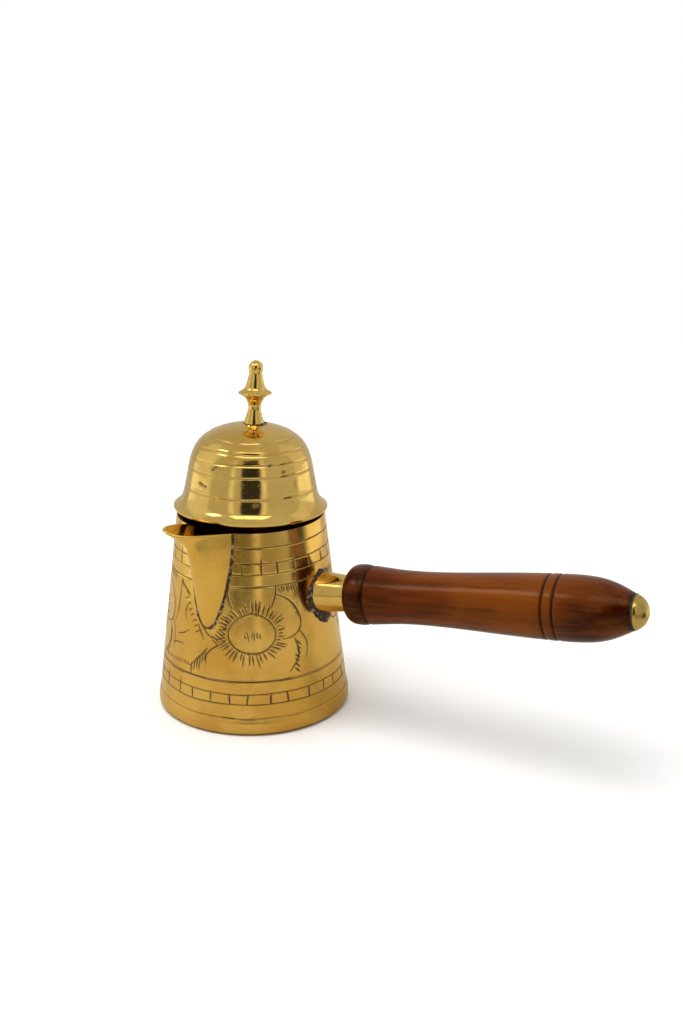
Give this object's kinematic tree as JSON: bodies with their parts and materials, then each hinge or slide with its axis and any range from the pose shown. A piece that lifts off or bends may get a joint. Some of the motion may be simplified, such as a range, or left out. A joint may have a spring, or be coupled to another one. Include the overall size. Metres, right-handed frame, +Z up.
{
  "type": "turkish coffee pot",
  "caption": "Small tapered brass coffee pot with a folded spout, a hinged bell-shaped lid with a finial and a turned wooden side handle.",
  "frame": {"origin": "centre of the flat base, on the pot's own axis", "axes": "+Z up the pot's axis, +X along the handle, -Y towards the spout, +Y towards the lid's hinge"},
  "size_m": [0.1667, 0.0686, 0.117],
  "materials": {
    "body_brass": "polished, hand engraved, darkened in the cuts",
    "spout_brass": "polished sheet",
    "lid_brass": "polished, spun, with small pits",
    "turned_brass": "polished, turned",
    "hinge_brass": "brushed",
    "tarnished_brass": "unpolished, darkened",
    "aged_solder": "rough, blackened",
    "handle_wood": "red-brown, varnished",
    "rod_steel": "plain",
    "black_washer": "blackened"
  },
  "bodies": {
    "pot": {"pot_body": "body_brass", "base_disc": "body_brass", "base_solder": "aged_solder", "spout": "spout_brass", "spout_solder": "aged_solder", "handle_socket": "turned_brass", "socket_solder": "aged_solder", "socket_plug": "turned_brass", "handle_rod": "rod_steel", "handle_grip": "handle_wood", "cap_washer": "black_washer", "handle_cap": "turned_brass", "hinge_body_leaf": "hinge_brass", "hinge_pin": "hinge_brass"},
    "lid": {"lid_dome": "lid_brass", "lid_collar": "tarnished_brass", "lid_finial": "turned_brass", "finial_solder": "aged_solder", "finial_washer": "turned_brass", "finial_nut": "turned_brass", "hinge_lid_leaf": "hinge_brass"}
  },
  "joints": [
    {"name": "lid_hinge", "type": "hinge", "parent": "pot", "child": "lid", "pos_m": [0, 0.0273, 0.0671], "axis": [-1, 0, 0], "range_deg": [0, 105]}
  ]
}
